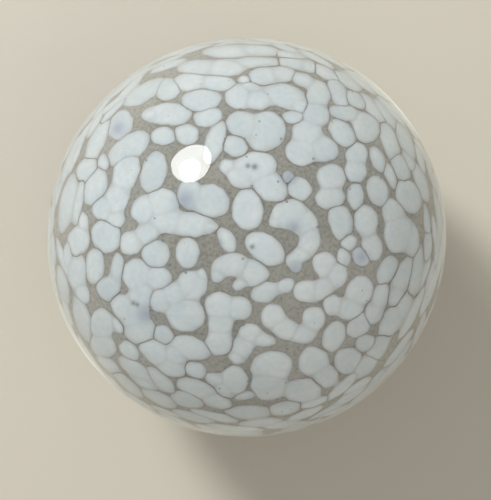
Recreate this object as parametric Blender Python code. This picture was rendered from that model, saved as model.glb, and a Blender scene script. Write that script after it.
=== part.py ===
"""Hollow blown-glass ball with white chips in its wall.

The ball is made in the order a glassblower makes it. A bubble of greyish glass is blown, opal chips are
picked up on it, a clear casing is gathered over them, and a dab of glass closes the blowhole and is ground
flat with the casing to make the base. The origin is the centre of that base, +Z points up, and all sizes are
in metres.
"""

from math import acos, asin, atan2, cos, pi, radians, sin, sqrt
from random import Random

import bmesh
import bpy
from mathutils import Vector

MM = 0.001

# Driving dimensions. Radii of the wall's layers are measured from the ball's centre.
BALL_RADIUS = 50.0 * MM
CASING_INNER_RADIUS = 48.85 * MM
CHIP_TOP_RADIUS = 48.25 * MM
CHIP_UNDERSIDE_RADIUS = 47.35 * MM
BUBBLE_OUTER_RADIUS = 47.0 * MM
CAVITY_RADIUS = 46.0 * MM
GAP = 0.3 * MM

# Depths below the ball's centre at which the base and the layers over it are flattened.
BASE_DEPTH = 48.8 * MM
CASING_FLOOR_DEPTH = 46.2 * MM
BUBBLE_BASE_DEPTH = CASING_FLOOR_DEPTH - GAP
BUBBLE_FLOOR_DEPTH = BUBBLE_BASE_DEPTH - (BUBBLE_OUTER_RADIUS - CAVITY_RADIUS)

BLOWHOLE_RADIUS = 4.5 * MM
CASING_HOLE_RADIUS = 7.0 * MM
DAB_HEAD_RADIUS = 6.5 * MM
DAB_HEAD_HEIGHT = 1.6 * MM

# Chips. Each one is a cluster of grains that melted into one patch, so its outline has lobes. The reach is a
# share of the radius that the patches would have if they were round and covered the ball between them.
CHIP_COUNT = 56
CHIP_LOWEST_CENTRE = radians(149)
CHIP_LOWEST_RIM = radians(158)
CHIP_SPACING = 1.4 * MM
CHIP_REACH = 1.12
CHIP_LOBE_DEPTH = 0.2
CHIP_FEWEST_LOBES = 3
CHIP_LOBE_KINDS = 3
CHIP_CORNER_SHARPNESS = 6
CHIP_SHOULDER_REACH = 0.75
CHIP_SHOULDER_RISE = 0.8
CHIP_SCATTER = 0.11
SCATTER_SEED = 4

CASING_SEGMENTS = 40
BUBBLE_SEGMENTS = 32
DAB_SEGMENTS = 24
CHIP_SPOKES = 18
DAB_DOME_STEPS = 5

GOLDEN_ANGLE = pi * (3 - sqrt(5))
SMOOTH_BELOW = radians(35)
SAME_POINT = 0.01 * MM
SLIVER = 0.001 * MM


def clear_scene():
    for obj in list(bpy.data.objects):
        bpy.data.objects.remove(obj)


def material(name, colour, roughness, transmission):
    made = bpy.data.materials.new(name)
    made.use_nodes = True
    shader = made.node_tree.nodes["Principled BSDF"]
    shader.inputs["Base Color"].default_value = (*colour, 1)
    shader.inputs["Roughness"].default_value = roughness
    shader.inputs["Metallic"].default_value = 0
    shader.inputs["Transmission Weight"].default_value = transmission
    shader.inputs["IOR"].default_value = 1.5
    made.diffuse_color = (*colour, 1)
    return made


def add_object(name, bm, finish):
    """A node from a bmesh, shaded smooth except at its real edges."""
    bmesh.ops.recalc_face_normals(bm, faces=bm.faces)
    mesh = bpy.data.meshes.new(name)
    bm.to_mesh(mesh)
    bm.free()
    mesh.shade_smooth()
    mesh.set_sharp_from_angle(angle=SMOOTH_BELOW)
    mesh.materials.append(finish)
    obj = bpy.data.objects.new(name, mesh)
    bpy.context.scene.collection.objects.link(obj)
    return obj


def turned(name, profile, segments, finish):
    """A solid turned about +Z from a closed outline of (radius, height) points."""
    bm = bmesh.new()
    points = [bm.verts.new((radius, 0, height)) for radius, height in profile]
    edges = [bm.edges.new((points[i - 1], points[i])) for i in range(len(points))]
    bmesh.ops.spin(
        bm, geom=points + edges, axis=(0, 0, 1), cent=(0, 0, 0), steps=segments, angle=2 * pi, use_merge=True
    )
    bmesh.ops.remove_doubles(bm, verts=bm.verts, dist=SAME_POINT)
    bmesh.ops.dissolve_degenerate(bm, edges=bm.edges, dist=SLIVER)
    return add_object(name, bm, finish)


def flattened_arc(radius, depth, steps):
    """A ball's outline from its top pole down to where it is cut off, depth below the centre."""
    last = pi / 2 + asin(depth / radius)
    angles = [last * i / steps for i in range(steps + 1)]
    return [(radius * sin(a), BASE_DEPTH + radius * cos(a)) for a in angles]


def shell(name, outer, inner, hole_radius, segments, finish):
    """A flattened hollow ball with a hole through its floor. outer and inner are (radius, depth) pairs."""
    steps = segments // 2
    outside = flattened_arc(*outer, steps)
    inside = flattened_arc(*inner, steps)
    mouth = [(hole_radius, BASE_DEPTH - outer[1]), (hole_radius, BASE_DEPTH - inner[1])]
    return turned(name, outside + mouth + inside[::-1], segments, finish)


def closing_dab(finish):
    """The dab is like a rivet: a head inside the bubble, a stem in the blowhole, a flange in the casing."""
    stem = BLOWHOLE_RADIUS - GAP
    flange = CASING_HOLE_RADIUS - GAP
    head_base = BASE_DEPTH - BUBBLE_FLOOR_DEPTH + GAP
    flange_top = BASE_DEPTH - BUBBLE_BASE_DEPTH - GAP
    rises = [pi / 2 * (1 - i / DAB_DOME_STEPS) for i in range(DAB_DOME_STEPS + 1)]
    dome = [(DAB_HEAD_RADIUS * cos(rise), head_base + DAB_HEAD_HEIGHT * sin(rise)) for rise in rises]
    below = [(stem, head_base), (stem, flange_top), (flange, flange_top), (flange, 0), (0, 0)]
    return turned("closing_dab", dome + below, DAB_SEGMENTS, finish)


def chip_centres():
    """Directions spread evenly over the ball, apart from its base, and then each shifted a little."""
    draw = Random(SCATTER_SEED)
    share_each = (1 - cos(CHIP_LOWEST_CENTRE)) / CHIP_COUNT
    for i in range(CHIP_COUNT):
        height = 1 - share_each * (i + 0.5)
        level = sqrt(1 - height * height)
        turn = GOLDEN_ANGLE * i
        even = Vector((level * cos(turn), level * sin(turn), height))
        shift = Vector([draw.uniform(-CHIP_SCATTER, CHIP_SCATTER) for _ in range(3)])
        yield (even + shift).normalized()


def angle_to_neighbour(centre, tangent, other):
    """The angle from a chip's centre along tangent to where another chip's centre is as near."""
    apart = centre - other
    closing = -tangent.dot(apart)
    return atan2(centre.dot(apart), closing) if closing > 0 else pi


def angle_to_base(centre, tangent):
    """The angle from a chip's centre along tangent to the ring that the chips leave free round the base."""
    slope = sqrt(centre.z**2 + tangent.z**2)
    lowest = cos(CHIP_LOWEST_RIM)
    return atan2(tangent.z, centre.z) + acos(lowest / slope) if slope > -lowest else pi


def chip_outline(index, centre, centres):
    """(tangent, angle) pairs round a chip: lobed, and rounded off short of its neighbours and the base."""
    across = centre.orthogonal().normalized()
    along = centre.cross(across)
    even = sqrt(2 * (1 - cos(CHIP_LOWEST_RIM)) / CHIP_COUNT)
    half_gap = CHIP_SPACING / 2 / CHIP_TOP_RADIUS
    lobes = CHIP_FEWEST_LOBES + index % CHIP_LOBE_KINDS
    others = [other for other in centres if other is not centre]
    for i in range(CHIP_SPOKES):
        turn = 2 * pi * i / CHIP_SPOKES
        tangent = across * cos(turn) + along * sin(turn)
        free = CHIP_REACH * even * (1 + CHIP_LOBE_DEPTH * cos(lobes * turn + index))
        limits = [angle_to_neighbour(centre, tangent, other) - half_gap for other in others]
        limits += [angle_to_base(centre, tangent), free]
        yield tangent, sum(limit**-CHIP_CORNER_SHARPNESS for limit in limits) ** (-1 / CHIP_CORNER_SHARPNESS)


def opal_chip(index, centre, centres, finish):
    """One chip: a lens that follows the ball, thickest in its middle and closed along its rim."""
    middle = (CHIP_TOP_RADIUS + CHIP_UNDERSIDE_RADIUS) / 2
    half = (CHIP_TOP_RADIUS - CHIP_UNDERSIDE_RADIUS) / 2
    ball_centre = Vector((0, 0, BASE_DEPTH))
    outline = list(chip_outline(index, centre, centres))
    bm = bmesh.new()

    def ring(share, rise):
        radius = middle + half * rise
        return [
            bm.verts.new(ball_centre + radius * (centre * cos(reach * share) + tangent * sin(reach * share)))
            for tangent, reach in outline
        ]

    rim = ring(1, 0)
    for side in (1, -1):
        shoulder = ring(CHIP_SHOULDER_REACH, CHIP_SHOULDER_RISE * side)
        pole = bm.verts.new(ball_centre + centre * (middle + half * side))
        for i in range(CHIP_SPOKES):
            bm.faces.new((rim[i - 1], rim[i], shoulder[i], shoulder[i - 1]))
            bm.faces.new((shoulder[i - 1], shoulder[i], pole))
    return add_object(f"opal_chip_{index + 1:02d}", bm, finish)


def main():
    clear_scene()
    clear_glass = material("clear_glass", (0.9, 0.93, 0.92), 0.03, 1.0)
    smoky_glass = material("smoky_glass", (0.62, 0.6, 0.56), 0.2, 0.8)
    opal_glass = material("opal_glass", (0.82, 0.86, 0.87), 0.25, 0.0)
    shell(
        "clear_casing",
        (BALL_RADIUS, BASE_DEPTH),
        (CASING_INNER_RADIUS, CASING_FLOOR_DEPTH),
        CASING_HOLE_RADIUS,
        CASING_SEGMENTS,
        clear_glass,
    )
    shell(
        "inner_bubble",
        (BUBBLE_OUTER_RADIUS, BUBBLE_BASE_DEPTH),
        (CAVITY_RADIUS, BUBBLE_FLOOR_DEPTH),
        BLOWHOLE_RADIUS,
        BUBBLE_SEGMENTS,
        smoky_glass,
    )
    closing_dab(clear_glass)
    centres = list(chip_centres())
    for index, centre in enumerate(centres):
        opal_chip(index, centre, centres, opal_glass)


main()
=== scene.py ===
"""A hollow blown-glass ball with white opal chips cased under clear glass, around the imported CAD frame.

The wall is built in its real layers. The cloudy inner bubble lies inside, the opal chips lie on it as melted
pads, and the clear casing covers them, so that light bends and reflects at its surface. Lengths are in
metres, and a chip's place on the ball is given as seen from straight above.
"""

from collections import namedtuple
from math import asin, cos, pi, radians, sin, sqrt
from random import Random

import bmesh
import bpy
import numpy as np
from mathutils import Matrix, Vector


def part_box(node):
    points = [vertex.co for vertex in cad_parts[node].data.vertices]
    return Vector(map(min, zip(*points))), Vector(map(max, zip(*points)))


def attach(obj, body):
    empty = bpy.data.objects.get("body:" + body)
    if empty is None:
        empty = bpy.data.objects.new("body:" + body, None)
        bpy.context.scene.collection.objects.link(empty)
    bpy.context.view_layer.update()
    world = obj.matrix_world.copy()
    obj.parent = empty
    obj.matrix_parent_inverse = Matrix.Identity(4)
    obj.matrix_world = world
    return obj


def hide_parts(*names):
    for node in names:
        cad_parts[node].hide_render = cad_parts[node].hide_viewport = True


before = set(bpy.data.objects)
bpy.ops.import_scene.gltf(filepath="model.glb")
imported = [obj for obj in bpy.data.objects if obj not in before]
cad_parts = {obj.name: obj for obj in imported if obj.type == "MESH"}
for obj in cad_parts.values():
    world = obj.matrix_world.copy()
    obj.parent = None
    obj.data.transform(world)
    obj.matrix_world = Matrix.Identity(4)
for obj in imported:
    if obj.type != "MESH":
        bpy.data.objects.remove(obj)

MM = 0.001
UP = Vector((0, 0, 1))

# Places that come from the CAD frame.
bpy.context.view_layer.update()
CASING_LOW, CASING_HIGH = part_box("clear_casing")
BUBBLE_LOW, BUBBLE_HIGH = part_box("inner_bubble")
DAB_LOW, DAB_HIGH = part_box("closing_dab")
CAD_RADIUS = (CASING_HIGH.x - CASING_LOW.x) / 2
CENTRE = Vector((0, 0, CASING_HIGH.z - CAD_RADIUS))
CHIP_NODES = sorted(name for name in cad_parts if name.startswith("opal_chip"))

# The wall's layers, as radii from the ball's centre. Each layer bites a little into the next, because they
# are melted together. The outside wavers slightly, as on any hand-turned ball, and stays in the CAD's box.
BALL_RADIUS = CAD_RADIUS - 0.1 * MM
BUBBLE_RADIUS = (BUBBLE_HIGH.x - BUBBLE_LOW.x) / 2 + 0.15 * MM
CHIP_RIM_RADIUS = BUBBLE_RADIUS + 0.05 * MM
CAVITY_RADIUS = BUBBLE_RADIUS - 1.0 * MM
BITE = 0.1 * MM
WAVER = 0.012 * MM
WAVER_LENGTH = 11 * MM
WAVER_COUNT = 9
WAVER_LIMIT = 2

# Depths below the ball's centre of the flat stretches at the base.
BASE_DEPTH = CENTRE.z
BUBBLE_BASE_DEPTH = CENTRE.z - BUBBLE_LOW.z
BUBBLE_FLOOR_DEPTH = BUBBLE_BASE_DEPTH - (BUBBLE_RADIUS - CAVITY_RADIUS)

# The dab that closes the blowhole, and the clearance between it and the walls round it.
DAB_RADIUS = (DAB_HIGH.x - DAB_LOW.x) / 2
DAB_HEAD_SHARE = 0.95
BLOWHOLE_RADIUS = 4.4 * MM
CLEARANCE = 0.05 * MM

# How finely the pieces are made. DOME_STEP is in degrees, and the chips are cut from the grid. A point this
# near to the outside, or a face this near to the base, counts as lying on it.
CASING_SEGMENTS = 256
BUBBLE_SEGMENTS = 96
DAB_SEGMENTS = 96
DOME_STEP = 10
GRID_SUBDIVISIONS = 6
GRID_CUTS = 3
SEED_SUBDIVISIONS = 2
SMOOTH_BELOW = radians(35)
SAME_POINT = 0.005 * MM
ON_OUTSIDE = 0.01 * MM
ON_BASE = 0.05 * MM
FACING_DOWN = -0.99

# A pad: how high its rounded edge and its crown rise over its rim, how far its underside lies below the rim,
# and over what widths it rises. Where it was pressed against a neighbour it keeps a share of its height and
# whiteness. A pad that isn't SMALLEST_PAD from its rim to its middle is left out.
PAD_RISE = 0.3 * MM
PAD_SWELL = 0.25 * MM
PAD_DROP = 0.3 * MM
EDGE_WIDTH = 1.5 * MM
SWELL_WIDTH = 2.5 * MM
PRESSED_WIDTH = 0.6 * MM
PRESSED_HEIGHT = 0.6
PRESSED_SOLID = 0.8
SMALLEST_PAD = 0.5 * MM

# The crease where two of a patch's grains met: its width and depth, how far into the patch it reaches, and
# how fast it fades.
CREASE_WIDTH = 0.45 * MM
CREASE_DEPTH = 0.1 * MM
CREASE_REACH = 2.2 * MM
CREASE_FADE = 1.5

# How close two patches lie: the gap, its swing over the ball, and how much tighter they lie at the girth.
GAP = 0.07 * MM
GAP_SWING = 0.1 * MM
GAP_SWING_LENGTH = 13 * MM
GIRTH_FUSING = 0.16 * MM

# How far grains melt into each other, how far they spread past their ellipses, and how far past those an
# outline can still reach.
MELT = 0.5 * MM
SPREAD = 0.25 * MM
GIRTH_SPREAD = 0.5 * MM
OUTLINE_REACH = 3.5 * MM

# Smooth waves that make the outlines uneven: how many, how much their wavelengths differ, and the size and
# wavelength of coarse and fine ones.
WAVE_COUNT = 7
WAVE_RANGE = (0.7, 1.4)
COARSE_WANDER = 0.2 * MM
COARSE_LENGTH = 9 * MM
FINE_WANDER = 0.1 * MM
FINE_LENGTH = 3.2 * MM

# The rule that lays the other chips: how many drops are tried, how far from the top they stay, how near the
# base they reach, and how bare a spot must be.
DROPS = 6000
BARE_ANGLE = radians(38)
LOWEST_ANGLE = radians(158)
LEAST_ROOM = 1.1 * MM

# The grains that it lays: the greatest half width, how far they may press into the one beside them, how fat,
# long and skewed they come out, and how much they are drawn out beyond DRAWN_ANGLE from the top.
GREATEST_HALF_WIDTH = 3.0 * MM
CROWDING = 0.4 * MM
FATNESS = (0.7, 1)
STRETCH = (1.1, 1.9)
SKEW = 0.35
DRAWN_ANGLE = radians(50)
DRAWN_OUT = 1.5

# How many melt into a neighbour, how near it must be, and how many grains one patch may gather.
MELTED_SHARE = 0.55
MELTING_ROOM = 3 * MM
MOST_IN_PATCH = 5

CHIP_SEED = 11
WAVER_SEED = 3
GAS_SEED = 5

# One grain's outline: its middle on the ball, two axes divided by the outline's half length and half width,
# and the patch that it melted into.
Grain = namedtuple("Grain", "middle along across half_length half_width patch")

# The chips on the ball's upper side, as seen from straight above. Each entry is one melted patch, and each
# of its grains is x, y, length, width and the length's turn from +X, in millimetres and degrees.
UPPER_PATCHES = (
    ((0.2, 5.9, 8.4, 6.6, 95),),
    ((3.8, -2.4, 8.8, 5.6, -28),),
    ((-4.4, -0.6, 5.4, 2.9, 112),),
    ((-3.4, -5.8, 6.6, 4.4, 8), (-5.9, -8.0, 2.8, 2.2, 60), (1.9, -7.6, 5.4, 5.2, 0),
     (-1.2, -9.8, 3, 1.8, 20)),
    ((-7.6, 7.6, 7.2, 7.0, 0), (-12.0, 9.2, 5.2, 6.8, 0)),
    ((-22.0, 6.2, 6.0, 4.8, 60), (-17.9, 7.4, 6.6, 6.4, 0), (-17.0, 3.2, 7, 5, 0), (-12, 2.6, 8.6, 4.6, 3),
     (-8.3, 2.2, 3.4, 2.0, 0), (-21.4, 0.7, 5, 4, 30), (-25.0, -1.5, 4.4, 4.4, 0)),
    ((-12.4, -3.4, 6.4, 4.9, 95),),
    ((3.9, -11.9, 5.2, 3.9, 12), (8.2, -10.6, 3.4, 3.1, 30)),
    ((1.8, 14.9, 9.2, 7.0, 8), (-0.9, 13.0, 5.4, 5.0, 0), (5.1, 10.6, 7.4, 5.2, -32),
     (-4.1, 15.2, 2.6, 2.6, 0)),
    ((11.3, 10.2, 4.8, 4.4, 0),),
    ((9.3, 4.9, 7.2, 5.6, 15), (6.7, 3.4, 3.0, 2.0, 30), (12.6, 3.0, 4.6, 4.8, 0),
     (13.4, -0.9, 5.2, 4.0, 75), (11.2, -3.8, 5.4, 3.0, 25), (10.3, -6.3, 2.2, 2.4, 0),
     (10.2, 2.0, 2.6, 1.6, -20)),
    ((8.9, 12.6, 2.0, 2.2, 0),),
    ((24.7, -4.2, 3.4, 3.6, 0),),
    ((-9.9, 30.0, 7.8, 4.6, 3),),
    ((-8.2, 26.0, 5.6, 4.2, 10),),
    ((-12.8, 22.3, 4.8, 4.2, 0),),
    ((-6.7, 20.2, 8.8, 4.0, 70),),
    ((-2.6, 19.6, 4.8, 4.0, 0),),
    ((-0.9, 24.3, 6.2, 5.2, -15), (4.6, 23.2, 7.6, 7.6, 0), (3.2, 20.7, 5, 3.4, 0)),
    ((-2.1, 30.6, 5.0, 5.4, 0), (2.2, 29.8, 5.4, 4.0, 0), (8.4, 31.0, 8.2, 4.8, -10),
     (11.3, 29.0, 5, 3, -35)),
    ((10.3, 26.0, 4.0, 2.8, -5),),
    ((3.7, 35.4, 5.6, 3.8, 0), (8.1, 36.2, 4.8, 3.2, 5)),
    ((-0.4, 34.7, 2.2, 1.6, 0),),
    ((-12.5, 34.3, 7.6, 3.8, 5), (-6.4, 33.9, 7.2, 3.4, -5)),
    ((-11, 37.9, 6.8, 3.0, 0), (-5, 37.6, 7.6, 3.4, 0), (2.5, 39.1, 7.6, 2.0, 0)),
    ((-4.5, 42.0, 8, 2.6, 0), (2.8, 42.2, 7, 2.0, -5)),
    ((9.6, 41.2, 4.6, 1.5, -8),),
    ((10.4, 39.1, 5.2, 2.4, -5), (14.2, 38.3, 3.6, 2.2, -20)),
    ((12.3, 34.9, 4, 2.6, -15), (15.9, 31.6, 4.8, 5.6, 0), (15.2, 26.6, 5.6, 5.4, 0),
     (13.2, 22.2, 6.2, 5.6, 0), (11.8, 18.2, 6.4, 6.0, 0), (16.6, 18.9, 6.0, 5.0, -10)),
    ((-5.6, -14.6, 6.2, 6.0, 0), (-1.4, -15.0, 4.8, 5.0, 0), (-5.6, -18.5, 5.2, 5, 0),
     (-5.8, -22.4, 5.6, 6, 0)),
    ((0.8, -20.5, 4.2, 4.2, 0), (3.9, -21.9, 4.6, 2.4, -20), (-0.8, -23.6, 5.2, 4.2, 55),
     (-2.2, -26, 3, 2.6, 0)),
    ((-2.6, -31.3, 5.4, 6.6, 0), (-6.6, -31.0, 4.2, 2.4, -15), (-4.4, -33.2, 4.6, 3.6, 0)),
    ((5.4, -28.0, 8.4, 6.2, 0), (4.9, -32.6, 7.4, 6.6, 0), (12.4, -34.0, 7.6, 5.4, 0)),
    ((14.6, -27.0, 6.2, 6.2, 0), (17.4, -30.6, 5.6, 4.6, -20)),
    ((5.6, -16.8, 5.0, 4.8, 0), (8.2, -19.5, 5.2, 4.4, -35), (12.2, -21.2, 5.2, 3.6, 0),
     (14.4, -17.6, 4.6, 5.4, 0)),
    ((-11.6, -10.4, 6.2, 5.8, 0), (-9.3, -7.9, 1.8, 2.2, 0), (-15.5, -12.2, 6.0, 4.4, 20),
     (-18.2, -13.4, 4.8, 4.6, 0), (-13.0, -16.7, 7.6, 7.2, 0)),
    ((-12.2, -23.9, 8.8, 4.4, -12), (-15.6, -25.6, 4.4, 4.6, 0), (-19.8, -25.4, 7.2, 4.4, -30),
     (-16.4, -28.4, 6.4, 3.8, -30)),
    ((-11.1, -28.9, 4.4, 3.4, -15),),
    ((-11.0, -33.5, 7.4, 3.8, -15), (-6.8, -36.3, 5.6, 3.0, -20)),
    ((0.5, -39.0, 8.4, 2.8, 0),),
    ((8.7, -38.2, 5.6, 2.6, 10),),
    ((-19.9, 14.0, 8.4, 5.6, 78),),
    ((-26.2, 14.2, 9.4, 5.4, 80), (-28.2, 8.4, 6.6, 5.2, 80), (-31.2, 6.4, 5.0, 5.0, 0),
     (-28.2, 3.8, 3.8, 3.8, 0)),
    ((-33.3, 11.2, 7.6, 4.8, 70),),
    ((-30.6, 0.3, 6.6, 6.8, 0),),
    ((-37.4, -1.0, 5.0, 5.6, 0), (-36.2, 3.2, 3.6, 2.2, 85)),
    ((-40.3, 7.5, 11, 3.2, 78),),
    ((-33.4, -6.4, 7.0, 4.0, 85),),
    ((-37.7, -7.8, 7.2, 4.2, 88), (-36.6, -12.6, 3.6, 3.0, 100)),
    ((-41.8, -10.8, 6.4, 2.2, 100),),
    ((-28.1, -6.4, 5.2, 2.6, 82), (-30.3, -11.2, 4.8, 5.0, 0)),
    ((-23.7, -8.2, 6.8, 6.4, 90), (-19.2, -8.6, 6.0, 4.8, 0), (-22.6, -12.6, 5.2, 5.6, 0),
     (-27.0, -15.3, 5.4, 4.6, -40), (-24.4, -17.0, 6.2, 5.6, 0), (-23.2, -20.4, 6.6, 5.6, 0)),
    ((-19.4, -3.6, 5.9, 5.5, 0),),
    ((18.2, 12.9, 5.6, 5.2, 0), (17.9, 8.3, 5.8, 4.8, 0)),
    ((24.2, 18.0, 4.6, 4.6, 0), (23.7, 14.1, 4.8, 4.8, 0)),
    ((23.5, 8.9, 4.8, 3.7, 85),),
    ((28.8, 10.0, 6.2, 4.0, 105),),
    ((20.2, 3.2, 7.0, 5.3, 98),),
    ((25.9, 3.6, 6.6, 4.7, 98), (27.3, -2.2, 4.8, 4.2, 80)),
    ((22.1, -1.1, 3.6, 3.3, 45),),
    ((16.6, -5.7, 4.8, 5.0, 0), (19.5, -8.0, 5.0, 3.8, 70), (16.0, -11.0, 5.8, 3.8, 30),
     (12.8, -11.6, 5.2, 4.2, 0)),
    ((20.8, -4.3, 3.6, 2.7, 100),),
    ((32.0, 5.6, 4.8, 5.0, 0), (33.4, 1.0, 6.6, 8, 0), (36.5, -0.6, 6.6, 3.6, 95)),
    ((36.1, 9.1, 6.8, 5.0, -58),),
    ((39.2, 12.4, 7, 2.4, 110),),
    ((34.2, 15.6, 6.0, 3.4, 112),),
    ((31.6, 13.6, 4.6, 1.8, 112),),
    ((30.8, -7.0, 6.0, 3.8, 68),),
    ((34.6, -8.6, 7.6, 4.2, 68), (33.0, -13.0, 4.6, 3.2, 70)),
    ((32.0, -18.8, 8.0, 4.0, 62), (34.8, -15.4, 5.4, 3.0, 68)),
    ((29.4, -24.6, 7.0, 3.6, 55),),
    ((26.6, -28.6, 6.4, 3.6, 48),),
    ((37.8, -7.5, 9, 2.4, 80),),
    ((24.4, -11.6, 6.6, 5.8, 60), (22.2, -15.6, 5.2, 4.4, 0), (18.5, -14.6, 4.0, 4.2, 0)),
    ((29.3, -13.0, 5.6, 3.2, 72), (27.8, -16.8, 4.6, 3.6, 60)),
    ((-16.8, 26.8, 9.0, 4.8, -3), (-20.6, 27.0, 3.2, 2.4, 0)),
    ((-18.0, 21.8, 5.0, 3.5, 0),),
    ((-25.8, 19.4, 9.6, 5.3, 35),),
    ((-27.8, 25.0, 6.2, 5.0, 60),),
    ((-22.9, 32.4, 9, 3.6, 28),),
    ((-17.4, 32.8, 5, 4.6, 40),),
    ((-33.3, 21.6, 9.4, 3.4, 68),),
    ((-35.6, 15.0, 5.4, 4.2, 60),),
    ((-31.6, 16.4, 2.8, 2.2, 90),),
    ((20.4, 32.3, 7.2, 3.4, 108),),
    ((24.5, 30.8, 4.6, 2.9, -25),),
    ((21.6, 27.5, 5.6, 3.4, -10), (26.5, 24.2, 5.6, 6.8, 0)),
    ((20.9, 22.6, 6.4, 4.4, -50),),
    ((29.0, 17.0, 4.8, 2.6, 112),),
    ((31.9, 21.3, 8.6, 3.3, 107),),
    ((36.6, 17.1, 4.0, 1.7, 118),),
    ((35.8, 21.9, 7, 2.7, 112),),
    ((28.4, 28.9, 6.6, 2.4, -50),),
    ((31.4, 27.6, 6, 2, -52),),
    ((18.0, 36.8, 6.6, 2.4, -25),),
    ((22.7, 35.2, 5.6, 2.2, -35),),
    ((-32.2, -19.4, 5.2, 7.0, 0), (-32.2, -24.3, 5.8, 5.2, 0)),
    ((-26.0, -25.2, 4.2, 3.4, -50),),
    ((-18.1, -21.2, 4.2, 3.8, 118),),
    ((-24.4, -29.8, 8.4, 3.2, -35), (-23.0, -32.2, 4.4, 2.4, -35)),
    ((-19.4, -31.6, 6.6, 3.2, -40),),
    ((-13.4, -36.2, 6.4, 3.2, -12),),
    ((-36.9, -18.4, 9, 3.4, 105),),
    ((-31.3, -28.8, 5.2, 2.2, -42),),
    ((-27.2, -33.2, 6, 1.8, -42),),
    ((-19.6, -36.4, 6.4, 2.4, -26),),
    ((19.2, -21.5, 6.2, 4.4, 72),),
    ((24.6, -19.4, 5.2, 4.6, 30),),
    ((26.2, -23.4, 4.2, 3.4, 0),),
    ((22.4, -27.2, 5.8, 5.4, 0),),
)

# Spots where a chip is thin and shows bluish, and pits in the chips, which are painted as dark dots of
# shade: x, y and radius in millimetres.
THIN_STRENGTH = 0.85
THIN_SPOTS = (
    (8.9, 12.6, 1.8), (9.8, 1.8, 1.6), (10.3, -6.6, 1.6), (24.7, -4.2, 1.9), (-6.0, -1.3, 0.9),
    (-21.6, -16.6, 2.2), (-13.0, 8.0, 2.2), (-28.4, 24.0, 1.8),
)
PITS = ((0.3, 15.1, 0.5), (1.7, 14.9, 0.65), (-24.4, -14.2, 0.5), (-23.6, -14.5, 0.45), (1.2, -2.0, 0.5))

# Gas seeds in the casing. The larger ones lie on the upper side at these x and y in millimetres, and
# SEED_PLACE_RADIUS from the ball's centre. The small ones are strewn over the ball, except close round the
# base. The three ranges are in millimetres too: how far the small ones lie from the centre, and the radii of
# both kinds.
SEEDS = (
    (8.6, 7.6), (-0.8, -4.6), (-9.2, -13.2), (1.1, 10.9), (6.7, 11.9), (-3.5, 9.4), (3.7, 6.8),
    (13.2, -5.1), (7.4, -13.1), (-13.0, -7.6), (-0.7, -18.8), (10.2, -17.4), (8.9, -24.3), (-9.7, -21.0),
    (-6.0, -33.6), (0.3, -31.7), (14.5, -23.2), (6.2, 27.7), (2.8, 25.2), (-1.3, 27.9), (7.5, 21.3),
    (0.0, 17.3), (-4.7, 17.3), (-13.0, 28.2), (14.4, 17.0), (18.8, 25.5), (29.6, 13.0), (23.3, 0.8),
    (21.8, -7.2), (22.5, 10.4), (15.2, 2.2), (-18.0, -0.8), (-19.8, 4.1), (-16.5, -6.0), (-21.8, 16.8),
    (-20.9, -15.1), (-28.0, -22.7), (18.6, -17.3),
)
SEED_PLACE_RADIUS = 48.35 * MM
SEED_SIZES = (0.18, 0.3)
SMALL_SEEDS = 150
SMALL_SEED_PLACES = (48.1, 49.2)
SMALL_SEED_SIZES = (0.08, 0.16)

# What each point of a chip says about its look: how solid it is, its crease, how thin it is, its pits, and
# the tone of the whole chip.
LOOKS = ("solid", "crease", "thin", "pit", "tone")

# The colours of the glasses, the floor and the light.
OPAL_DULL = (0.77, 0.845, 0.865)
OPAL_WHITE = (0.84, 0.895, 0.90)
OPAL_EDGE = (0.6, 0.59, 0.56)
OPAL_BLUISH = (0.46, 0.50, 0.60)
# Painted shade along the creases where grains met.
OPAL_CREASE_SHADE = (0.66, 0.70, 0.70)
# Painted shade in the pits.
OPAL_PIT_SHADE = (0.28, 0.30, 0.31)
SMOKE_DARK = (0.48, 0.462, 0.41)
SMOKE_PALE = (0.55, 0.53, 0.48)
GRAIN_DARK = (0.8, 0.79, 0.76)
GRAIN_PALE = (1.12, 1.115, 1.08)
BLOOM = (0.9, 0.89, 0.8)
GROUND_TINT = (0.93, 0.95, 0.94)
PALE_FLOOR = (0.46, 0.42, 0.355)
DAYLIGHT = (0.96, 0.97, 0.95)
COOL_LIGHT = (0.97, 1, 0.99)
WARM_LIGHT = (1, 0.95, 0.83)
GLASS_IOR = 1.5

# The floor and the camera, which looks down from a few radii above the ball's top.
FLOOR_HALF = 9.0
CAMERA_DISTANCE = 6.5 * BALL_RADIUS
CAMERA_LENS = 92.4
CAMERA_TIP = radians(-0.565)
CAMERA_LEAN = radians(0.045)


# Mesh helpers


def mesh_object(name, points, faces, material):
    """A smooth piece from its points and faces."""
    mesh = bpy.data.meshes.new(name)
    mesh.from_pydata(points, [], faces)
    mesh.validate()
    mesh.materials.append(material)
    mesh.shade_smooth()
    obj = bpy.data.objects.new(name, mesh)
    bpy.context.scene.collection.objects.link(obj)
    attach(obj, "root")
    return obj


def turned(name, profile, segments, material):
    """A solid turned about +Z from a closed outline of (radius, height) points."""
    bm = bmesh.new()
    points = [bm.verts.new((radius, 0, height)) for radius, height in profile]
    edges = [bm.edges.new((points[i - 1], points[i])) for i in range(len(points))]
    bmesh.ops.spin(
        bm, geom=points + edges, axis=UP, cent=(0, 0, 0), steps=segments, angle=2 * pi, use_merge=True
    )
    bmesh.ops.remove_doubles(bm, verts=bm.verts, dist=SAME_POINT)
    bmesh.ops.recalc_face_normals(bm, faces=bm.faces)
    mesh = bpy.data.meshes.new(name)
    bm.to_mesh(mesh)
    bm.free()
    mesh.shade_smooth()
    mesh.set_sharp_from_angle(angle=SMOOTH_BELOW)
    mesh.materials.append(material)
    obj = bpy.data.objects.new(name, mesh)
    bpy.context.scene.collection.objects.link(obj)
    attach(obj, "root")
    return obj


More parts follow.
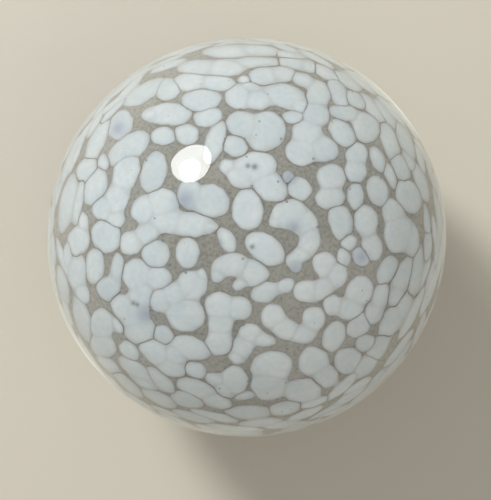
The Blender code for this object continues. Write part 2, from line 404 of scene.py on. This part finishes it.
def flattened_arc(radius, depth, steps):
    """A ball's outline from its top pole down to where it is cut off, depth below the centre."""
    last = pi / 2 + asin(depth / radius)
    angles = [last * i / steps for i in range(steps + 1)]
    return [(radius * sin(a), CENTRE.z + radius * cos(a)) for a in angles]


def shell(name, outer, inner, hole_radius, segments, material):
    """A flattened hollow ball with a hole through its floor. outer and inner are (radius, depth) pairs."""
    outside = flattened_arc(*outer, segments // 2)
    inside = flattened_arc(*inner, segments // 2)
    mouth = [(hole_radius, CENTRE.z - outer[1]), (hole_radius, CENTRE.z - inner[1])]
    return turned(name, outside + mouth + inside[::-1], segments, material)


# Materials


def new_material(name):
    """A material, its node tree and its one shader."""
    made = bpy.data.materials.new(name)
    made.use_nodes = True
    return made, made.node_tree, made.node_tree.nodes["Principled BSDF"]


def noise(tree, size, detail):
    """Cloudy noise in the object's own coordinates, with features of about this size."""
    place = tree.nodes.new("ShaderNodeTexCoord")
    cloud = tree.nodes.new("ShaderNodeTexNoise")
    cloud.inputs["Scale"].default_value = 1 / size
    cloud.inputs["Detail"].default_value = detail
    tree.links.new(place.outputs["Object"], cloud.inputs["Vector"])
    return cloud.outputs["Fac"]


def ramp(tree, factor, *stops):
    """Colours at places along a factor from 0 to 1."""
    node = tree.nodes.new("ShaderNodeValToRGB")
    while len(node.color_ramp.elements) < len(stops):
        node.color_ramp.elements.new(1)
    for element, (place, colour) in zip(node.color_ramp.elements, stops):
        element.position = place
        element.color = (*colour, 1)
    tree.links.new(factor, node.inputs["Fac"])
    return node.outputs["Color"]


def height_share(tree):
    """How high a point lies on the ball: 0 at the base and 1 at the top."""
    place = tree.nodes.new("ShaderNodeTexCoord")
    parts = tree.nodes.new("ShaderNodeSeparateXYZ")
    share = tree.nodes.new("ShaderNodeMapRange")
    share.inputs["From Max"].default_value = CASING_HIGH.z
    tree.links.new(place.outputs["Object"], parts.inputs["Vector"])
    tree.links.new(parts.outputs["Z"], share.inputs["Value"])
    return share.outputs["Result"]


def grey(value):
    """A neutral colour."""
    return (value, value, value)


def mixed(tree, kind, factor, first, second):
    """Two colours mixed by a factor, each a socket or a colour."""
    node = tree.nodes.new("ShaderNodeMix")
    node.data_type = "RGBA"
    node.blend_type = kind
    for socket, value in ((node.inputs[0], factor), (node.inputs[6], first), (node.inputs[7], second)):
        if isinstance(value, bpy.types.NodeSocket):
            tree.links.new(value, socket)
        else:
            socket.default_value = value if isinstance(value, float) else (*value, 1)
    return node.outputs[2]


def attribute(tree, name):
    """A value that the mesh's points carry."""
    node = tree.nodes.new("ShaderNodeAttribute")
    node.attribute_name = name
    return node.outputs["Fac"]


def bumped(tree, shader, height, distance, strength):
    """Roughens a shader's surface by a height."""
    node = tree.nodes.new("ShaderNodeBump")
    node.inputs["Distance"].default_value = distance
    node.inputs["Strength"].default_value = strength
    tree.links.new(height, node.inputs["Height"])
    tree.links.new(node.outputs["Normal"], shader.inputs["Normal"])


def opal_material():
    """White opal glass: cloudy and flecked, greyer along thin edges, bluish where it is thin, with painted
    shade along creases and in pits.
    """
    made, tree, shader = new_material("opal_glass")
    body = ramp(tree, noise(tree, 5 * MM, 3), (0.35, OPAL_DULL), (0.65, OPAL_WHITE))
    flecks = ramp(tree, noise(tree, 1.1 * MM, 2), (0.35, grey(0.965)), (0.65, grey(1.015)))
    tone = ramp(tree, attribute(tree, "tone"), (0.0, grey(0.94)), (1.0, grey(1.02)))
    body = mixed(tree, "MULTIPLY", 1.0, mixed(tree, "MULTIPLY", 1.0, body, flecks), tone)
    solid = attribute(tree, "solid")
    edge = ramp(tree, solid, (0.0, grey(0.05)), (0.2, grey(0.65)), (0.5, grey(0.95)), (0.8, grey(1)))
    shade = mixed(tree, "MIX", edge, OPAL_EDGE, body)
    shade = mixed(tree, "MIX", attribute(tree, "thin"), shade, OPAL_BLUISH)
    # Painted shade: the creases are painted greyer where two grains met.
    crease = ramp(tree, attribute(tree, "crease"), (0.0, grey(0)), (1.0, grey(0.7)))
    shade = mixed(tree, "MIX", crease, shade, OPAL_CREASE_SHADE)
    # Painted shade: each pit is a dark dot painted on the chip, with no hollow in the geometry.
    shade = mixed(tree, "MIX", attribute(tree, "pit"), shade, OPAL_PIT_SHADE)
    tree.links.new(shade, shader.inputs["Base Color"])
    shader.inputs["Roughness"].default_value = 0.5
    shader.inputs["Specular IOR Level"].default_value = 0.0
    shader.inputs["Subsurface Weight"].default_value = 0.8
    shader.inputs["Subsurface Radius"].default_value = (1.0, 0.98, 0.9)
    shader.inputs["Subsurface Scale"].default_value = 1.2 * MM
    return made


def smoky_material():
    """The bubble's greyish glass, with fine grain, and painted paler towards the girth and below as a glow
    of light shining through the ball.
    """
    made, tree, shader = new_material("smoky_glass")
    body = ramp(tree, noise(tree, 14 * MM, 2), (0.3, SMOKE_DARK), (0.7, SMOKE_PALE))
    height = height_share(tree)
    # Painted glow: the bubble is painted paler towards the girth and below, standing in for light that
    # shines through the ball.
    painted_glow = ramp(tree, height, (0.5, grey(1.0)), (0.8, grey(0.92)), (0.9, grey(0.8)), (1.0, grey(0.72)))
    grains = ramp(tree, noise(tree, 0.7 * MM, 1), (0.3, GRAIN_DARK), (0.5, grey(1)), (0.72, GRAIN_PALE))
    body = mixed(tree, "MULTIPLY", 1.0, body, painted_glow)
    tree.links.new(mixed(tree, "MULTIPLY", 1.0, body, grains), shader.inputs["Base Color"])
    shader.inputs["Roughness"].default_value = 0.5
    shader.inputs["Specular IOR Level"].default_value = 0.0
    shader.inputs["Subsurface Weight"].default_value = 0.6
    shader.inputs["Subsurface Radius"].default_value = (1.0, 0.9, 0.7)
    shader.inputs["Subsurface Scale"].default_value = 3 * MM
    return made


def clear_material():
    """Clear fire-polished glass, with faint smears and a slight bloom."""
    made, tree, shader = new_material("clear_glass")
    shader.inputs["Base Color"].default_value = (1, 1, 1, 1)
    smears = ramp(tree, noise(tree, 7 * MM, 4), (0.45, grey(0.0)), (0.7, grey(0.035)))
    tree.links.new(smears, shader.inputs["Roughness"])
    shader.inputs["Transmission Weight"].default_value = 1.0
    shader.inputs["IOR"].default_value = GLASS_IOR
    shader.inputs["Sheen Weight"].default_value = 0.3
    shader.inputs["Sheen Roughness"].default_value = 0.35
    shader.inputs["Sheen Tint"].default_value = (*BLOOM, 1)
    return made


def ground_material():
    """The matt finish of the ground flat."""
    made, tree, shader = new_material("ground_glass")
    shader.inputs["Base Color"].default_value = (*GROUND_TINT, 1)
    shader.inputs["Transmission Weight"].default_value = 1.0
    shader.inputs["IOR"].default_value = GLASS_IOR
    rough = ramp(tree, noise(tree, 1.5 * MM, 4), (0.3, grey(0.34)), (0.7, grey(0.5)))
    tree.links.new(rough, shader.inputs["Roughness"])
    bumped(tree, shader, noise(tree, 0.25 * MM, 3), 0.02 * MM, 0.4)
    return made


# Chips


def any_direction(draw):
    """A unit direction, each as likely as any other."""
    return Vector([draw.gauss(0, 1) for _ in range(3)]).normalized()


def geodesic_grid():
    """Unit directions spread over a ball, and the triangles between them."""
    bm = bmesh.new()
    bmesh.ops.create_icosphere(bm, subdivisions=GRID_SUBDIVISIONS, radius=1)
    bmesh.ops.subdivide_edges(bm, edges=bm.edges, cuts=GRID_CUTS, use_grid_fill=True)
    bmesh.ops.triangulate(bm, faces=bm.faces)
    points = np.array([v.co.normalized() for v in bm.verts])
    triangles = np.array([[v.index for v in f.verts] for f in bm.faces])
    bm.free()
    return points, triangles


def upper_grains():
    """The listed grains. Their outlines are ellipses as seen from above, however much the ball slopes."""
    for patch, grains in enumerate(UPPER_PATCHES):
        for x, y, length, width, turn in grains:
            height = sqrt((CHIP_RIM_RADIUS / MM) ** 2 - x * x - y * y)
            angle = radians(turn)
            along = Vector((cos(angle), sin(angle), 0)) * 2 / length
            across = Vector((-sin(angle), cos(angle), 0)) * 2 / width
            middle = Vector((x, y, height)) * MM
            yield Grain(middle, along / MM, across / MM, length / 2 * MM, width / 2 * MM, patch)


def room_around(spot, grains):
    """How far the nearest grain's outline is from a spot, and which grain that is."""
    middles, alongs, acrosses, half_widths = grains
    offset = np.array(spot) - middles
    u = (offset * alongs).sum(axis=1)
    v = (offset * acrosses).sum(axis=1)
    rooms = (np.sqrt(u * u + v * v) - 1) * half_widths
    rooms[np.linalg.norm(offset, axis=1) > CHIP_RIM_RADIUS / 2] = CHIP_RIM_RADIUS
    nearest = int(np.argmin(rooms))
    return rooms[nearest], nearest


def scattered_grains(draw, laid):
    """Grains over the rest of the ball. Each fills a bare spot, lies along the ball's girth, and may have
    melted into a neighbour. Close round the top and round the base the bare spots stay bare."""
    grains = [np.array([tuple(grain[i]) for grain in laid]) for i in range(3)]
    grains.append(np.array([grain.half_width for grain in laid]))
    patches = [grain.patch for grain in laid]
    for drop in range(DROPS):
        spot = any_direction(draw) * CHIP_RIM_RADIUS
        fatness = draw.uniform(*FATNESS)
        stretch = draw.uniform(*STRETCH)
        skew = draw.gauss(0, SKEW)
        melts = draw.random() < MELTED_SHARE
        if spot.z > CHIP_RIM_RADIUS * cos(BARE_ANGLE) or spot.z < CHIP_RIM_RADIUS * cos(LOWEST_ANGLE):
            continue
        room, nearest = room_around(spot, grains)
        if room < LEAST_ROOM:
            continue
        patch = len(UPPER_PATCHES) + drop
        if melts and room < MELTING_ROOM and patches.count(patches[nearest]) < MOST_IN_PATCH:
            patch = patches[nearest]
        grain = girth_grain(spot, room, fatness, stretch, skew, patch)
        for i, value in enumerate((tuple(spot), tuple(grain.along), tuple(grain.across), grain.half_width)):
            grains[i] = np.concatenate([grains[i], [value]])
        patches.append(patch)
        yield grain


def girth_grain(spot, room, fatness, stretch, skew, patch):
    """A grain that fills the room round a spot and lies along the ball's girth, turned by skew."""
    drawn_out = 1 if spot.z > CHIP_RIM_RADIUS * cos(DRAWN_ANGLE) else DRAWN_OUT
    half_width = min(room + CROWDING, GREATEST_HALF_WIDTH / sqrt(drawn_out)) * fatness
    half_length = half_width * stretch * drawn_out
    girth = UP.cross(spot).normalized()
    upwards = spot.normalized().cross(girth)
    along = (girth * cos(skew) + upwards * sin(skew)) / half_length
    across = (upwards * cos(skew) - girth * sin(skew)) / half_width
    return Grain(spot, along, across, half_length, half_width, patch)


def waves(points, count, length, draw):
    """Smooth wandering values over the ball, with about this wavelength."""
    total = np.zeros(len(points))
    for _ in range(count):
        heading = any_direction(draw)
        pitch = 2 * pi * CHIP_RIM_RADIUS / (length * draw.uniform(*WAVE_RANGE))
        total += np.sin(pitch * (points @ np.array(heading)) + draw.uniform(0, 2 * pi))
    return total / sqrt(count)


def wandered(points, draw):
    """The grid's directions pushed about, so that round outlines come out uneven."""
    coarse = [COARSE_WANDER * waves(points, WAVE_COUNT, COARSE_LENGTH, draw) for _ in range(3)]
    fine = [FINE_WANDER * waves(points, WAVE_COUNT, FINE_LENGTH, draw) for _ in range(3)]
    moved = points + (np.array(coarse) + np.array(fine)).T / CHIP_RIM_RADIUS
    return moved / np.linalg.norm(moved, axis=1)[:, None]


def depth_in_grain(points, grain):
    """About how far inside a grain's outline each point lies."""
    offset = points * CHIP_RIM_RADIUS - np.array(grain.middle)
    u = offset @ np.array(grain.along)
    v = offset @ np.array(grain.across)
    return (1 - np.sqrt(u * u + v * v)) * grain.half_width


def patch_depths(points, grains):
    """For each patch: its grains, the grid points near it, how far inside its melted outline each point
    lies, and how strong its creases are there."""
    patches = {}
    for grain in grains:
        patches.setdefault(grain.patch, []).append(grain)
    for members in patches.values():
        slope = min(max(grain.middle.z, CHIP_RIM_RADIUS / 2) for grain in members) / CHIP_RIM_RADIUS
        reach = max(grain.half_length for grain in members) / slope + OUTLINE_REACH
        cosines = np.max([points @ np.array(grain.middle.normalized()) for grain in members], axis=0)
        near = np.flatnonzero(cosines > cos(reach / CHIP_RIM_RADIUS))
        spread_out = SPREAD + GIRTH_SPREAD * (1 - points[near][:, 2].clip(0, 1))
        depths = np.array([depth_in_grain(points[near], grain) for grain in members]) + spread_out
        most = depths.max(axis=0)
        melted = most + MELT * np.log(np.exp((depths - most) / MELT).sum(axis=0))
        yield members, near, melted, creases(depths, most)


def creases(depths, most):
    """How strong the crease is where two of a patch's grains met. It is 1 where they barely did."""
    if len(depths) == 1:
        return np.zeros_like(most)
    second = np.partition(depths, -2, axis=0)[-2]
    line = np.exp(-(((most - second) / CREASE_WIDTH) ** 2))
    return line * np.clip(1 - second / CREASE_REACH, 0, 1) ** CREASE_FADE


def kept_apart(patches, count, gaps):
    """Each patch's depths, cut back so that it stops half a gap short of where its neighbours would meet it.
    Where the gap is under 0 the two have fused along that line."""
    first = np.full(count, -1.0)
    second = np.full(count, -1.0)
    owner = np.full(count, -1)
    for index, (_, near, depth, _) in enumerate(patches):
        leads = depth > first[near]
        second[near] = np.where(leads, first[near], np.maximum(second[near], depth))
        owner[near] = np.where(leads, index, owner[near])
        first[near] = np.maximum(first[near], depth)
    for index, (members, near, depth, crease) in enumerate(patches):
        rival = np.where(owner[near] == index, second[near], first[near])
        room = (depth - rival - gaps[near]) / 2
        yield members, near, np.column_stack([np.minimum(depth, room), depth, room, crease])


def cut_out(points, triangles, fields):
    """The part of the grid where the first field is over 0, cut along the line where it is 0."""
    limit = fields[:, 0]
    inside = limit > 0
    count = inside[triangles].sum(axis=1)
    whole = triangles[count == 3]
    one = triangles[count == 1]
    two = triangles[count == 2]
    one = np.array([np.roll(t, -int(np.argmax(inside[t]))) for t in one]).reshape(-1, 3)
    two = np.array([np.roll(t, -int(np.argmin(inside[t]))) for t in two]).reshape(-1, 3)
    pairs = np.concatenate([one[:, [0, 1]], one[:, [0, 2]], two[:, [0, 1]], two[:, [0, 2]]])
    pairs = np.sort(pairs, axis=1)
    unique, place = np.unique(pairs, axis=0, return_inverse=True)
    place = place.ravel()
    start, end = unique.T
    share = (limit[start] / (limit[start] - limit[end]))[:, None]
    rim = points[start] + share * (points[end] - points[start])
    rim /= np.linalg.norm(rim, axis=1)[:, None]
    a, b, c, d = np.split(place, np.cumsum([len(one), len(one), len(two)]))
    base = len(points)
    faces = np.concatenate([
        whole,
        np.column_stack([one[:, 0], base + a, base + b]),
        np.column_stack([two[:, 1], two[:, 2], base + d]),
        np.column_stack([two[:, 1], base + d, base + c]),
    ])
    every = np.concatenate([points, rim])
    values = np.concatenate([fields, fields[start] + share * (fields[end] - fields[start])])
    used, faces = np.unique(faces, return_inverse=True)
    return every[used], values[used], faces.reshape(-1, 3), used >= base


def rounded(depth, width):
    """A quarter-round edge: 0 on the rim, and 1 from width inwards."""
    return 1 - (1 - np.clip(depth / width, 0, 1)) ** 2


def spots(points, places):
    """1 in the middle of each of these places on the ball's upper side, fading to 0 around it."""
    strength = np.zeros(len(points))
    for x, y, radius in places:
        from_x = points[:, 0] * CHIP_RIM_RADIUS / MM - x
        from_y = points[:, 1] * CHIP_RIM_RADIUS / MM - y
        far = np.hypot(from_x, from_y) / radius
        strength = np.maximum(strength, np.where(points[:, 2] > 0, np.exp(-(far**2)), 0))
    return strength


def pad(points, fields, faces, on_rim):
    """A closed pad from its outline on the ball: a rounded top, an even underside and a shared rim."""
    _, depth, room, crease = fields.T
    pressed = rounded(room, PRESSED_WIDTH)
    free = PAD_RISE * rounded(depth, EDGE_WIDTH) + PAD_SWELL * (1 - np.exp(-depth / SWELL_WIDTH))
    kept = PRESSED_HEIGHT + (1 - PRESSED_HEIGHT) * pressed
    height = np.maximum(free * kept - CREASE_DEPTH * crease, 0)
    top = points * (CHIP_RIM_RADIUS + height)[:, None]
    under = points * (CHIP_RIM_RADIUS - PAD_DROP)
    lower = np.where(on_rim, np.arange(len(points)), len(points) + np.cumsum(~on_rim) - 1)
    every = np.concatenate([top, under[~on_rim]])
    solid = np.clip(depth / EDGE_WIDTH, 0, 1) * (PRESSED_SOLID + (1 - PRESSED_SOLID) * pressed)
    thin = THIN_STRENGTH * spots(points, THIN_SPOTS)
    looks = np.column_stack([solid, crease, thin, spots(points, PITS)])
    return every, np.concatenate([faces, lower[faces][:, ::-1]]), np.concatenate([looks, looks[~on_rim]])


def chips(material):
    """The chips, in one piece for each of the frame's chip nodes, which holds those nearest to it."""
    draw = Random(CHIP_SEED)
    points, triangles = geodesic_grid()
    laid = list(upper_grains())
    moved = wandered(points, draw)
    patches = list(patch_depths(moved, laid + list(scattered_grains(draw, laid))))
    nodes = np.array([((sum(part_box(n), Vector()) / 2) - CENTRE).normalized() for n in CHIP_NODES])
    groups = {name: [] for name in CHIP_NODES}
    fields = np.full((len(points), 4), -1.0)
    swing = GAP_SWING * waves(points, WAVE_COUNT, GAP_SWING_LENGTH, draw)
    gaps = GAP + swing - GIRTH_FUSING * (1 - points[:, 2].clip(0, 1)) ** 2
    for members, near, values in kept_apart(patches, len(points), gaps):
        if values[:, 0].max() < SMALLEST_PAD:
            continue
        fields[near] = values
        places, faces, looks = pad(*cut_out(points, triangles, fields))
        tone = np.full((len(looks), 1), draw.random())
        fields[near] = -1.0
        middle = np.mean([grain.middle for grain in members], axis=0)
        groups[CHIP_NODES[int(np.argmax(nodes @ middle))]].append((places, faces, np.hstack([looks, tone])))
    for name, members in groups.items():
        chip_piece(name, members, material)


def chip_piece(node, members, material):
    """The pads that stand for one of the frame's chip nodes, with what their points say about their look."""
    counts = np.cumsum([0] + [len(points) for points, _, _ in members])
    points = np.concatenate([m[0] for m in members]) + np.array(CENTRE)
    faces = np.concatenate([m[1] + start for m, start in zip(members, counts)])
    looks = np.concatenate([m[2] for m in members])
    piece = mesh_object(node.replace("chip", "pads"), points.tolist(), faces.tolist(), material)
    for name, values in zip(LOOKS, looks.T):
        piece.data.attributes.new(name, "FLOAT", "POINT").data.foreach_set("value", values)
    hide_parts(node)


# The wall


def seed_places():
    """Where each gas seed lies, and its radius."""
    draw = Random(GAS_SEED)
    for x, y in SEEDS:
        height = sqrt((SEED_PLACE_RADIUS / MM) ** 2 - x * x - y * y)
        yield Vector((x, y, height)) * MM, draw.uniform(*SEED_SIZES) * MM
    for _ in range(SMALL_SEEDS):
        way = any_direction(draw)
        if way.z > cos(LOWEST_ANGLE):
            place = way * draw.uniform(*SMALL_SEED_PLACES) * MM
            yield place, draw.uniform(*SMALL_SEED_SIZES) * MM


def add_seeds(casing):
    """Hollows the gas seeds out of the casing."""
    bm = bmesh.new()
    for place, radius in seed_places():
        shift = Matrix.Translation(CENTRE + place)
        bmesh.ops.create_icosphere(bm, subdivisions=SEED_SUBDIVISIONS, radius=radius, matrix=shift)
    bmesh.ops.reverse_faces(bm, faces=bm.faces)
    for face in bm.faces:
        face.smooth = True
    bm.from_mesh(casing.data)
    bm.to_mesh(casing.data)
    bm.free()


def waver(casing):
    """Makes the outside of the casing slightly uneven, as a hand-turned ball is."""
    places = np.array([tuple(v.co - CENTRE) for v in casing.data.vertices])
    lengths = np.linalg.norm(places, axis=1)
    ways = places / lengths[:, None]
    outside = (lengths > BALL_RADIUS - ON_OUTSIDE) & (places[:, 2] > -BASE_DEPTH + ON_OUTSIDE)
    swell = np.clip(waves(ways, WAVER_COUNT, WAVER_LENGTH, Random(WAVER_SEED)), -WAVER_LIMIT, WAVER_LIMIT)
    shift = WAVER * swell * outside
    casing.data.vertices.foreach_set("co", (places + ways * shift[:, None] + np.array(CENTRE)).ravel())
    casing.data.update()


def ground_underneath(piece, ground):
    """Gives the flat that the ball stands on its ground finish."""
    piece.data.materials.append(ground)
    for face in piece.data.polygons:
        if face.normal.z < FACING_DOWN and face.center.z < ON_BASE:
            face.material_index = 1


def dab_outline():
    """From the base up: the flange in the casing, the stem in the blowhole and the rounded head inside."""
    stem = BLOWHOLE_RADIUS - CLEARANCE
    flange_top = CENTRE.z - BUBBLE_BASE_DEPTH - BITE
    head_base = CENTRE.z - BUBBLE_FLOOR_DEPTH + CLEARANCE
    head = DAB_RADIUS * DAB_HEAD_SHARE
    head_height = DAB_HIGH.z - BITE - head_base
    rises = [radians(angle) for angle in range(0, 91, DOME_STEP)]
    dome = [(head * cos(rise), head_base + head_height * sin(rise)) for rise in rises]
    flange = [(0, 0), (DAB_RADIUS, 0), (DAB_RADIUS, flange_top)]
    return flange + [(stem, flange_top), (stem, head_base)] + dome[:-1] + [(0, head_base + head_height)]


def cloudy_bubble(smoky):
    """The hollow inner bubble, with its blowhole."""
    bubble = shell(
        "cloudy_bubble",
        (BUBBLE_RADIUS, BUBBLE_BASE_DEPTH),
        (CAVITY_RADIUS, BUBBLE_FLOOR_DEPTH),
        BLOWHOLE_RADIUS,
        BUBBLE_SEGMENTS,
        smoky,
    )
    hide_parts("inner_bubble")


def clear_gather(clear, ground):
    """The clear casing, with its gas seeds and its ground flat."""
    casing = shell(
        "clear_gather",
        (BALL_RADIUS, BASE_DEPTH),
        (BUBBLE_RADIUS - BITE, BUBBLE_BASE_DEPTH - BITE),
        DAB_RADIUS + CLEARANCE,
        CASING_SEGMENTS,
        clear,
    )
    waver(casing)
    ground_underneath(casing, ground)
    add_seeds(casing)
    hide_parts("clear_casing")


def base_dab(clear, ground):
    """The dab that closes the blowhole, ground flat with the casing."""
    dab = turned("base_dab", dab_outline(), DAB_SEGMENTS, clear)
    ground_underneath(dab, ground)
    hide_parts("closing_dab")


def wall():
    """The bubble, the casing and the dab."""
    clear = clear_material()
    ground = ground_material()
    cloudy_bubble(smoky_material())
    clear_gather(clear, ground)
    base_dab(clear, ground)


# Stage, light and camera


def stage():
    """A plain pale floor."""
    mesh = bpy.data.meshes.new("floor")
    corners = [(FLOOR_HALF * x, FLOOR_HALF * y, 0) for x, y in ((-1, -1), (1, -1), (1, 1), (-1, 1))]
    mesh.from_pydata(corners, [], [(0, 1, 2, 3)])
    made, _, shader = new_material("pale_floor")
    shader.inputs["Base Color"].default_value = (*PALE_FLOOR, 1)
    shader.inputs["Roughness"].default_value = 0.6
    mesh.materials.append(made)
    floor = bpy.data.objects.new("floor", mesh)
    bpy.context.scene.collection.objects.link(floor)


def lamp(name, direction, distance, size, power, colour):
    """A round area lamp that shines at the ball."""
    light = bpy.data.lights.new(name, "AREA")
    light.shape = "DISK"
    light.size = size
    light.energy = power
    light.color = colour
    obj = bpy.data.objects.new(name, light)
    obj.location = CENTRE + direction.normalized() * distance
    obj.rotation_euler = direction.to_track_quat("Z", "Y").to_euler()
    bpy.context.scene.collection.objects.link(obj)


def studio():
    """Soft light from all round, a pair of lamps at the upper left for the highlight, and a warm fill."""
    world = bpy.data.worlds.new("studio")
    world.use_nodes = True
    background = world.node_tree.nodes["Background"]
    background.inputs["Color"].default_value = (*DAYLIGHT, 1)
    background.inputs["Strength"].default_value = 0.55
    bpy.context.scene.world = world
    key_side = Vector((-0.478, 0.577, 0.666))
    rim_side = Vector((-0.462, 0.618, 0.636))
    fill_side = Vector((0.62, -0.62, 0.48))
    lamp("key", key_side, distance=1.2, size=0.24, power=9, colour=COOL_LIGHT)
    lamp("key_rim", rim_side, distance=1.21, size=0.44, power=7, colour=COOL_LIGHT)
    lamp("fill", fill_side, distance=1.5, size=2.4, power=10, colour=WARM_LIGHT)


def camera():
    """Straight above the ball, tipped very slightly."""
    data = bpy.data.cameras.new("camera")
    data.sensor_width = 36
    data.lens = CAMERA_LENS
    data.clip_start = 0.01
    obj = bpy.data.objects.new("camera", data)
    obj.location = CENTRE + Vector((0, 0, CAMERA_DISTANCE))
    obj.rotation_euler = (CAMERA_TIP, CAMERA_LEAN, 0)
    bpy.context.scene.collection.objects.link(obj)
    bpy.context.scene.camera = obj


chips(opal_material())
wall()
stage()
studio()
camera()
bpy.context.scene.view_settings.view_transform = "Standard"
